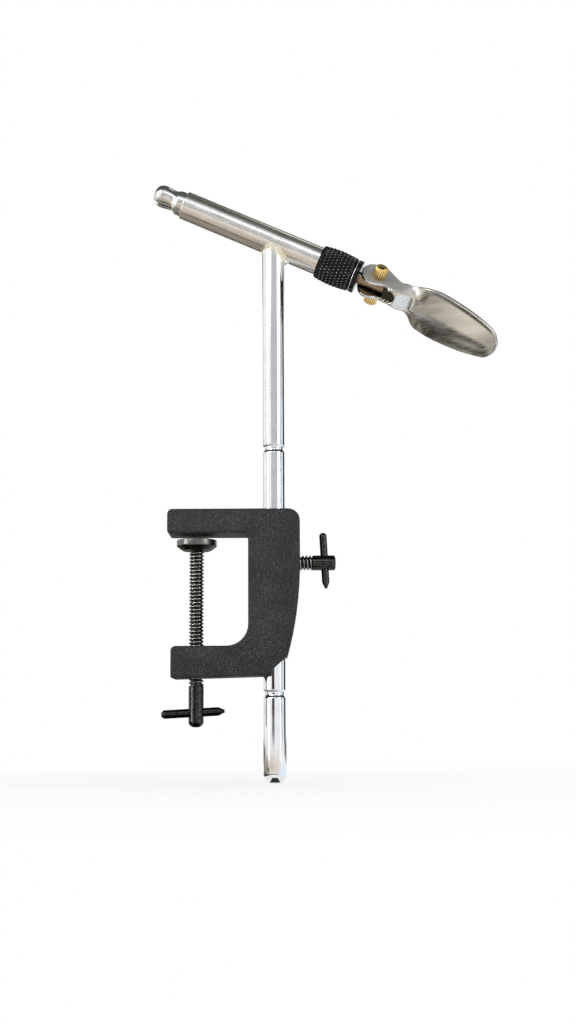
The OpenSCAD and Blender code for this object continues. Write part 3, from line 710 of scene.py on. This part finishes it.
def collarShape():
    c = collar
    span = c["knurlTo"] - c["knurlFrom"]
    grooveMiddle = c["knurlTo"] + c["grooveHalf"]
    grooveEnd = grooveMiddle + c["grooveHalf"]
    wallFrom = c["rear"] - c["wall"]
    shares = [i / c["rows"] for i in range(c["rows"] + 1)]
    crown = [(c["endR"] + c["crown"] * math.sin(math.radians(c["crownFrom"] + c["crownSweep"] * share)),
              c["knurlFrom"] + span * share) for share in shares]
    shape = turned([(c["frontR"], c["front"]), (c["endR"], c["front"], 0.35),
                    (c["endR"], c["knurlFrom"] - 0.1), *crown,
                    (c["endR"] - c["grooveIn"], grooveMiddle, 0.08), (c["endR"], grooveEnd, 0.1),
                    (c["endR"], c["rear"], 0.4), (c["rodHoleR"], c["rear"], 0.1), (c["rodHoleR"], wallFrom),
                    (c["threadR"], wallFrom), (c["threadR"], c["threadFrom"]),
                    (c["frontR"], c["threadFrom"])], c["steps"], closed=True)
    # Knurl tips and a line beside the groove are bare: wear, and also painted glints
    worn = shape.verts.layers.float.new("worn")
    for vert in shape.verts:
        radius, along = vert.co.xy.length, vert.co.z - c["knurlFrom"]
        if radius > c["endR"] + 0.1 and 0.0 < along < span:
            edge = smoothStep(along / c["fade"]) * smoothStep((span - along) / c["fade"])
            high = knurlHeight(math.atan2(vert.co.y, vert.co.x), along)
            vert.co.xy *= (radius - c["deep"] * edge * (1 - high)) / radius
            vert[worn] = high * edge
        elif abs(vert.co.z - grooveEnd) < c["wornGlintHalf"] and radius > c["endR"] - 0.15:
            vert[worn] = c["grooveWornGlint"]
    return shape


finished("knurledCollar", collarShape(), barrelPlace, "collar_body", "collar",
         ["adjusting_collar"], 50)

# The jaws: one turned blank, swung open about the slit's end and sawn in two
jaws = {"nose": -13.8, "noseR": 4.6, "noseFlat": 0.42, "noseEnd": 0.34, "noseSteps": 10, "waistR": 4.2,
        "waistEnd": 0.73, "curveSteps": 8, "ringR": 5.15, "ringFrom": -2.4, "ringTo": -0.4, "shankR": 4.31,
        "shankFrom": 4.05, "root": 26.0, "rootGap": 0.05, "halfSlit": 0.55, "sawnEdge": 0.14,
        "swing": 0.7492, "steps": 128}


def jawBlank():
    j = jaws
    span = j["ringFrom"] - j["nose"]
    flat = j["noseFlat"]

    def eased(fromR, toR, start, end):
        # A soft change of radius between two shares of the way from the nose to the ring
        shares = [i / j["curveSteps"] for i in range(1, j["curveSteps"] + 1)]
        return [(fromR + (toR - fromR) * smoothStep(share),
                 j["nose"] + span * (start + (end - start) * share)) for share in shares]

    turns = [math.pi / 2 * i / j["noseSteps"] for i in range(j["noseSteps"] + 1)]
    nose = [(j["noseR"] * (flat + (1 - flat) * math.sin(turn)),
             j["nose"] + j["noseEnd"] * span * (1 - math.cos(turn))) for turn in turns]
    waist = eased(j["noseR"], j["waistR"], j["noseEnd"], j["waistEnd"])
    flare = eased(j["waistR"], j["ringR"], j["waistEnd"], 1.0)
    rear = j["root"] + 1
    return turned([(0, j["nose"]), *nose, *waist, *flare, (j["ringR"], j["ringTo"], 0.08),
                   (j["shankR"], j["shankFrom"]), (j["shankR"], rear), (0, rear)], j["steps"])


def jawShape(side):
    j = jaws
    root = Matrix.Translation((0, 0, j["root"]))
    swing = root @ Matrix.Rotation(math.radians(side * j["swing"]), 4, "X") @ root.inverted()
    shape = moved(jawBlank(), swing)
    slitCut = ((0, side * j["halfSlit"], 0), (0, -side, 0))
    rootCut = ((0, 0, j["root"] - j["rootGap"]), (0, 0, 1))
    for point, normal in (slitCut, rootCut):
        bmesh.ops.bisect_plane(shape, geom=shape.verts[:] + shape.edges[:] + shape.faces[:], dist=0.0001,
                               plane_co=point, plane_no=normal, clear_outer=True)
        rim = [edge for edge in shape.edges if edge.is_boundary]
        cap = bmesh.ops.contextual_create(shape, geom=rim)["faces"]
        if normal[1]:
            sawn = [edge for face in cap for edge in face.edges if edge.verts[0].co.z < j["shankFrom"]]
            bevelled(shape, "EDGES", sawn, j["sawnEdge"], 3)
    bmesh.ops.recalc_face_normals(shape, faces=shape.faces)
    return shape


for level, jawSide in (("upper", -1), ("lower", 1)):
    finished(f"{level}Jaw", jawShape(jawSide), jawPlace, f"{level}_jaw_body", "jaw",
             [f"{level}_jaw"])

# The draw rod, from the collet to its chamfered tail
drawRod = {"radius": 2.6, "front": 29.02, "extraRing": 50, "tail": 3.9, "chamfer": 0.35, "steps": 96}


def rodShape():
    r = drawRod
    pinAlong = (pinCentre - barrelMouth).length / millimetre
    rear = pinAlong + r["tail"]
    return turned([(0, r["front"]), (r["radius"], r["front"]), (r["radius"], r["extraRing"]),
                   (r["radius"], pinAlong), (r["radius"], rear, r["chamfer"]), (0, rear)], r["steps"])


finished("rodTail", rodShape(), headPlace, "draw_body", "rod", ["draw_rod"])

# The lever: one bent sheet, with a channel neck that opens into the blade, and two cam ears
lever = {"sheet": 1.4, "earIn": 2.9, "earOut": 4.3, "webFrom": 7.8, "webDrop": 3.9, "neckEnd": 19.0,
         "tip": 59.6, "flat": 2.0, "spread": 1.1, "spreadFrom": 8, "spreadRun": 5, "bend": 1.6,
         "round": 1.7, "roundFrom": 19.0, "roundRun": 9.0, "roundShort": 0.5, "curl": 0.28, "curlFrom": 0.8,
         "rows": 120, "columns": 36, "crowding": 1.25, "slotHalf": 9, "voxel": 0.2, "smoothings": 16}
# Width of sheet beyond the flat middle, along the lever: first the channel's sides, then the blade
sheetReach = [(6.8, 8.6), (9.0, 8.6), (11.0, 8.5), (12.7, 7.6), (14.0, 6.8), (15.0, 6.3), (16.0, 6.1),
              (17.4, 6.3), (19.0, 6.9), (20.8, 7.9), (23.5, 9.0), (27.5, 9.9), (31.0, 10.0), (37.4, 9.6),
              (44.3, 8.7), (49.8, 7.5), (53.8, 6.2), (56.6, 4.6), (58.2, 2.6), (59.2, 0.7), (59.6, -0.6)]
# Angle in degrees that the sheet's sides are folded to, along the lever
sheetFold = [(10.0, 90.0), (11.5, 84.0), (13.0, 74.0), (14.5, 62.0), (16.0, 48.0), (17.6, 32.0),
             (19.5, 15.0), (21.5, 4.0), (23.5, 0.0)]


def sheetPoint(along, side, share):
    # A point of the sheet's middle surface, as (out of the web, along the pin, along the lever)
    v = lever
    fold = math.radians(readOff(sheetFold, along))
    reach = readOff(sheetReach, along)
    spread = v["spread"] * smoothStep((along - v["spreadFrom"]) / v["spreadRun"])
    outward = v["webDrop"] * smoothStep((v["neckEnd"] - along) / (v["neckEnd"] - v["webFrom"]))
    bent = v["bend"] * fold
    flat = v["flat"] + spread
    travel = share * (flat + reach - spread)
    shaped = smoothStep((along - v["roundFrom"]) / v["roundRun"])
    shaped *= smoothStep((v["tip"] - v["roundShort"] - along) / v["roundRun"])
    if side > 0:
        outward -= v["round"] * shaped * share ** 2
    outward += v["curl"] * shaped * smoothStep((share - v["curlFrom"]) / (1 - v["curlFrom"]))
    if travel <= flat or fold < 0.001:
        return Vector((outward, side * travel, along))
    turn = min(travel - flat, bent) / v["bend"]
    rest = max(travel - flat - bent, 0.0)
    across = flat + v["bend"] * math.sin(turn) + rest * math.cos(turn)
    sunk = v["bend"] * (1 - math.cos(turn)) + rest * math.sin(turn)
    return Vector((outward - sunk, side * across, along))


def bentSheet():
    v = lever
    shape = bmesh.new()
    grid = bmesh.ops.create_grid(shape, x_segments=v["columns"], y_segments=v["rows"], size=1)["verts"]
    start = sheetReach[0][0]
    for vert in grid:
        share = (vert.co.y + 1) / 2
        along = start + (v["tip"] - start) * (1 - (1 - share) ** v["crowding"])
        vert.co = sheetPoint(along, 1 if vert.co.x >= 0 else -1, abs(vert.co.x))
    bmesh.ops.recalc_face_normals(shape, faces=shape.faces)
    return reshaped(shape, ("SOLIDIFY", {"thickness": v["sheet"], "offset": 0.0, "use_even_offset": True}))


# An ear's outline, as (out of the web, along the lever): the cam's spiral with a dwell at each end, the
# back edge down to the blade and the front edge of the fork
ear = {"camR": 7.75, "rise": 1.8, "rest": 10, "working": 57, "dwell": -0.25, "from": -45, "to": 96,
       "step": 3, "back": [(-9.26, 0.2), (-8.6, 2.3), (-7.4, 4.4), (-6.3, 6.3), (-5.4, 8.4),
                           (-4.7, 10.4)],
       "front": [(2.0, 11.2), (2.3, 8.6), (3.3, 7.6), (3.45, 6.4), (3.35, 4.2), (4.3, 2.3), (5.5, 0.9),
                 (6.8, -1.6), (6.6, -3.6)]}


def camEar(side):
    e = ear
    cam = []
    for angle in range(e["from"], e["to"] + 1, e["step"]):
        turn = math.radians(angle)
        radius = e["camR"] + e["rise"] * min(max((angle + e["rest"]) / e["working"], e["dwell"]), 1.0)
        cam.append((-radius * math.sin(turn), -radius * math.cos(turn)))
    low, high = sorted((side * lever["earIn"], side * lever["earOut"]))
    return plate(cam + e["back"] + e["front"], low, high)


def leverShape():
    v = lever
    slot = moved(rod(v["earIn"], -v["slotHalf"], v["slotHalf"]), Matrix.Translation((0, 0, v["webFrom"]))
                 @ Matrix.Rotation(math.pi / 2, 4, "Y"))
    sheet = carved(bentSheet(), slot)
    whole = added(added(sheet, camEar(-1)), camEar(1))
    return reshaped(whole, ("REMESH", {"mode": "VOXEL", "voxel_size": v["voxel"], "use_smooth_shade": True}),
                    ("SMOOTH", {"factor": 0.5, "iterations": v["smoothings"]}))


finished("bentLever", leverShape(), leverPlace, "lever_body", "lever",
         ["cam_lever"], 80)

# The pin and its two fluted nuts, along the pin's own axis
nut = {"radius": 2.95, "from": 4.32, "end": 9.3, "flutes": 18, "deep": 0.34, "sharpness": 0.6,
       "chamfer": 0.6, "chamferShare": 0.8, "domeIn": 1.1, "domeSteps": 6, "footIn": 0.25, "footLen": 0.3,
       "faceIn": 0.35, "faceSunk": 0.15, "pinR": 1.5, "plainR": 2.0, "stepsPerFlute": 12}


def flutedNut(side, rounded):
    n = nut
    chamferFrom = n["end"] - n["chamfer"]
    levels = [(n["pinR"], n["from"]), (n["radius"] - n["footIn"], n["from"]),
              (n["radius"], n["from"] + n["footLen"]), (n["radius"], chamferFrom)]
    if rounded:
        turns = [math.pi / 2 * i / n["domeSteps"] for i in range(1, n["domeSteps"] + 1)]
        levels += [(n["radius"] - n["domeIn"] * (1 - math.cos(turn)),
                    chamferFrom + n["chamfer"] * math.sin(turn)) for turn in turns]
    else:
        levels += [(n["radius"] - n["chamfer"] * n["chamferShare"], n["end"]),
                   (n["pinR"] + n["faceIn"], n["end"])]
    levels += [(n["pinR"], n["end"] - n["faceSunk"])]

    def crestAt(angle):
        return abs(math.sin(n["flutes"] * angle / 2))

    def fluted(angle, radius, height):
        bite = n["deep"] * crestAt(angle) ** n["sharpness"] if radius > n["plainR"] else 0.0
        cut = radius - n["deep"] + bite
        return Vector((cut * math.cos(angle), side * height, cut * math.sin(angle)))

    shape = rings([lambda angle, r=radius, h=height: fluted(angle, r, h) for radius, height in levels],
                  n["flutes"] * n["stepsPerFlute"])
    # The crest layer carries painted shade: low in the flutes, high on the crests and the end faces
    crest = shape.verts.layers.float.new("crest")
    for vert in shape.verts:
        onSide = abs(vert.co.y) < n["end"] - 0.3
        vert[crest] = crestAt(math.atan2(vert.co.z, vert.co.x)) if onSide else 0.7
    return shape


for level, nutSide, isRounded in (("upper", -1, False), ("lower", 1, True)):
    finished(f"{level}Nut", flutedNut(nutSide, isRounded), leverPlace, "lever_body", "brass",
             [f"{level}_pin_nut"], 50)

pin = {"radius": 1.48, "half": 9.1, "endHigh": 0.1, "edge": 0.2, "steps": 64}


def pinShape():
    p = pin
    shoulder = p["half"] - p["endHigh"]
    profile = [(0, -p["half"]), (p["radius"], -shoulder, p["edge"]), (p["radius"], shoulder, p["edge"]),
               (0, p["half"])]
    return moved(turned(profile, p["steps"]), Matrix.Rotation(math.pi / 2, 4, "X"))


finished("crossPin", pinShape(), leverPlace, "lever_body", "black", ["cam_pin"])

# The pieces inside the barrel keep their own solids.
for nodeName in ("rear_bush", "thrust_washer", "return_spring", "collet_shank"):
    inside = frame["nodes"][nodeName].data
    inside.materials.clear()
    inside.materials.append(finishes["inner"])
print("pieces made")

# Stage: a pale floor in a white room, soft lamps, and glowing cards that only the metal mirrors
stage = {"floorZ": -0.10352, "floorSize": 6.0, "room": 0.42, "glowNear": 0.78, "glowFar": 0.30,
         "cardAway": 1.4, "middle": (0.045, 0.0, 0.03)}


def floorFinish():
    floor = Finish("paleFloor", Roughness=0.7)
    floor.shader.inputs["Base Color"].default_value = (0.86, 0.86, 0.86, 1)
    fade = floor.remap(floor.length(floor.place), stage["glowNear"], 1.0, 0.0, stage["glowFar"])
    glow = floor.add("Emission", {}, {"Color": (1, 1, 1, 1), "Strength": 1.0}, "Emission")
    mixed = floor.add("MixShader", {}, {"Fac": fade, 2: glow}, "Shader")
    floor.tree.links.new(floor.shader.outputs["BSDF"], mixed.socket.node.inputs[1])
    floor.tree.links.new(mixed.socket, floor.tree.nodes["Material Output"].inputs["Surface"])
    return floor.material


def stageSheet(name, width, height, place, material):
    shape = bmesh.new()
    bmesh.ops.create_grid(shape, x_segments=1, y_segments=1, size=0.5)
    bmesh.ops.scale(shape, vec=(width, height, 1), verts=shape.verts)
    sheet = linked(name, meshOf(name, shape))
    sheet.matrix_world = place
    sheet.data.materials.append(material)
    return sheet


def facing(origin, target):
    look = (Vector(target) - Vector(origin)).normalized()
    return Matrix.Translation(origin) @ look.to_track_quat("-Z", "Y").to_matrix().to_4x4()


def around(azimuth, elevation, away=stage["cardAway"]):
    # Azimuth is counted from the camera's side to the right, elevation from level, both in degrees
    turn, rise = math.radians(azimuth), math.radians(elevation)
    return Vector(stage["middle"]) + away * Vector((math.sin(turn) * math.cos(rise),
                                                    -math.cos(turn) * math.cos(rise), math.sin(rise)))


def card(name, origin, width, height, colour, target=stage["middle"]):
    finish = Finish(name + "Glow", Roughness=1.0, Specular_IOR_Level=0.0, Emission_Strength=1.0)
    finish.shader.inputs["Base Color"].default_value = (0, 0, 0, 1)
    finish.shader.inputs["Emission Color"].default_value = (*colour, 1)
    sheet = stageSheet(name, width, height, facing(origin, target), finish.material)
    sheet.visible_camera = sheet.visible_diffuse = sheet.visible_shadow = False


def lamp(name, origin, width, height, power, mirrored=True):
    data = bpy.data.lights.new(name, "AREA")
    data.shape = "RECTANGLE"
    data.size, data.size_y = width, height
    data.energy = power
    light = linked(name, data)
    light.matrix_world = facing(origin, stage["middle"])
    light.visible_glossy = mirrored


def whiteRoom():
    # White to the camera and in mirrors, dimmer as a light
    world = bpy.data.worlds.new("whiteRoom")
    bpy.context.scene.world = world
    world.use_nodes = True
    tree = world.node_tree
    background = tree.nodes["Background"]
    rays = tree.nodes.new("ShaderNodeLightPath")
    either = tree.nodes.new("ShaderNodeMath")
    either.operation = "MAXIMUM"
    tree.links.new(rays.outputs["Is Camera Ray"], either.inputs[0])
    tree.links.new(rays.outputs["Is Glossy Ray"], either.inputs[1])
    strength = tree.nodes.new("ShaderNodeMapRange")
    strength.inputs["To Min"].default_value = stage["room"]
    strength.inputs["To Max"].default_value = 1.0
    tree.links.new(either.outputs[0], strength.inputs["Value"])
    background.inputs["Color"].default_value = (1, 1, 1, 1)
    tree.links.new(strength.outputs["Result"], background.inputs["Strength"])


whiteRoom()
floorPlace = Matrix.Translation((stemX, 0, stage["floorZ"]))
stageSheet("floor", stage["floorSize"], stage["floorSize"], floorPlace, floorFinish())

# Cards on the camera's side and overhead
card("frontCard", around(14, 15.8), 2.5, 0.46, (0.58, 0.585, 0.60))
card("lowCard", around(8, 0.3), 2.3, 0.27, (0.95, 0.98, 1.02))
card("windowCard", around(0, 38), 2.6, 0.66, (0.84, 0.92, 1.0))
card("ceilingCard", (0.05, 1.2, 1.30), 4.0, 4.8, (0.11, 0.115, 0.10), (0.05, 1.2, 0.0))
card("lineCard", (0.42, 0.42, 1.28), 0.22, 0.34, (1.4, 1.4, 1.3), (0.42, 0.42, 0.0))
card("skyCard", around(6, 31, 1.3), 0.40, 0.12, (4.5, 4.5, 4.5))

# Cards to the left and right, which line the stem and the barrel with bright and dark streaks
card("leftStrip", around(-64, 4, 1.2), 0.10, 1.5, (20.0, 20.0, 19.5))
card("rightStrip", around(62, 4, 1.2), 0.08, 1.5, (6.0, 6.2, 6.4))
card("darkCard", around(-15.5, -1.5, 1.36), 0.62, 0.18, (0.05, 0.03, 0.03))
card("brownStrip", around(70, 2, 1.25), 0.16, 0.5, (0.28, 0.24, 0.21))
card("rightCard", around(80, 0), 0.8, 1.6, (0.72, 0.80, 0.88))
card("rightFlag", around(122, 5), 0.75, 2.4, (0.02, 0.02, 0.02))
card("leftFlag", around(-140, 5), 0.22, 2.4, (0.10, 0.10, 0.10))

# Cards on the floor, each a little above those it covers: height, x from and to, y from and to, colour
floorCards = {
    "warmCard": (0.0001, -0.5, 0.4, -0.55, -0.11, (0.80, 0.71, 0.60)),
    "brownCard": (0.0002, -0.6, -0.075, -0.11, 0.6, (0.34, 0.30, 0.25)),
    "seamCard": (0.0002, -0.24, -0.05, -0.215, -0.185, (0.03, 0.02, 0.02)),
    "blueCard": (0.0003, 0.06, 0.4, -0.11, 0.12, (0.86, 0.95, 1.05)),
    "bandCard": (0.0004, -0.08, 0.02, -0.028, 0.13, (0.012, 0.011, 0.010)),
    "neckCard": (0.0004, -0.20, -0.078, -0.095, -0.032, (0.035, 0.028, 0.024)),
    "nearCard": (0.0004, -0.024, 0.055, -0.06, -0.023, (0.012, 0.011, 0.010)),
    "bladeCard": (0.0005, -0.078, -0.026, -0.060, -0.023, (1.35, 1.26, 1.13)),
    "tipCard": (0.0006, -0.036, -0.016, -0.023, 0.036, (0.40, 0.375, 0.33)),
    "lobeCard": (0.0006, -0.035, 0.018, 0.022, 0.060, (0.55, 0.54, 0.46)),
    "footCard": (0.0006, 0.0305, 0.035, -0.0065, 0.001, (0.03, 0.035, 0.03)),
    "farCard": (0.0005, -0.9, 1.0, 0.3, 2.2, (0.10, 0.095, 0.085)),
}
for cardName, (above, lowX, highX, lowY, highY, colour) in floorCards.items():
    origin = Vector(((lowX + highX) / 2, (lowY + highY) / 2, stage["floorZ"] + above))
    card(cardName, origin, highX - lowX, highY - lowY, colour, origin + alongZ)

lamp("key", (-0.55, -0.75, 0.65), 0.35, 0.5, 4.0)
lamp("fill", (0.70, -0.55, 0.35), 0.3, 0.6, 1.6)
lamp("top", (0.05, 0.10, 0.95), 0.6, 0.4, 2.0, mirrored=False)
print("stage made")

# The camera: where the photograph was taken from
camera = {"focal": 1400.0, "height": 1024.0, "pitch": 8.8, "roll": 0.3, "from": (0.03866, -0.5880, -0.08107)}


def photoCamera():
    data = bpy.data.cameras.new("photoCamera")
    data.sensor_fit = "VERTICAL"
    data.sensor_height = 36.0
    data.lens = camera["focal"] / camera["height"] * data.sensor_height
    data.clip_start, data.clip_end = 0.01, 20.0
    pitch, roll = math.radians(camera["pitch"]), math.radians(camera["roll"])
    forward = Vector((0, math.cos(pitch), math.sin(pitch)))
    upright = Vector((0, -math.sin(pitch), math.cos(pitch)))
    right = math.cos(roll) * alongX - math.sin(roll) * upright
    up = math.sin(roll) * alongX + math.cos(roll) * upright
    turn = Matrix((right, up, -forward)).transposed()
    view = linked("photoCamera", data)
    view.matrix_world = Matrix.Translation(camera["from"]) @ turn.to_4x4()
    bpy.context.scene.camera = view


photoCamera()
bpy.context.scene.view_settings.view_transform = "Standard"
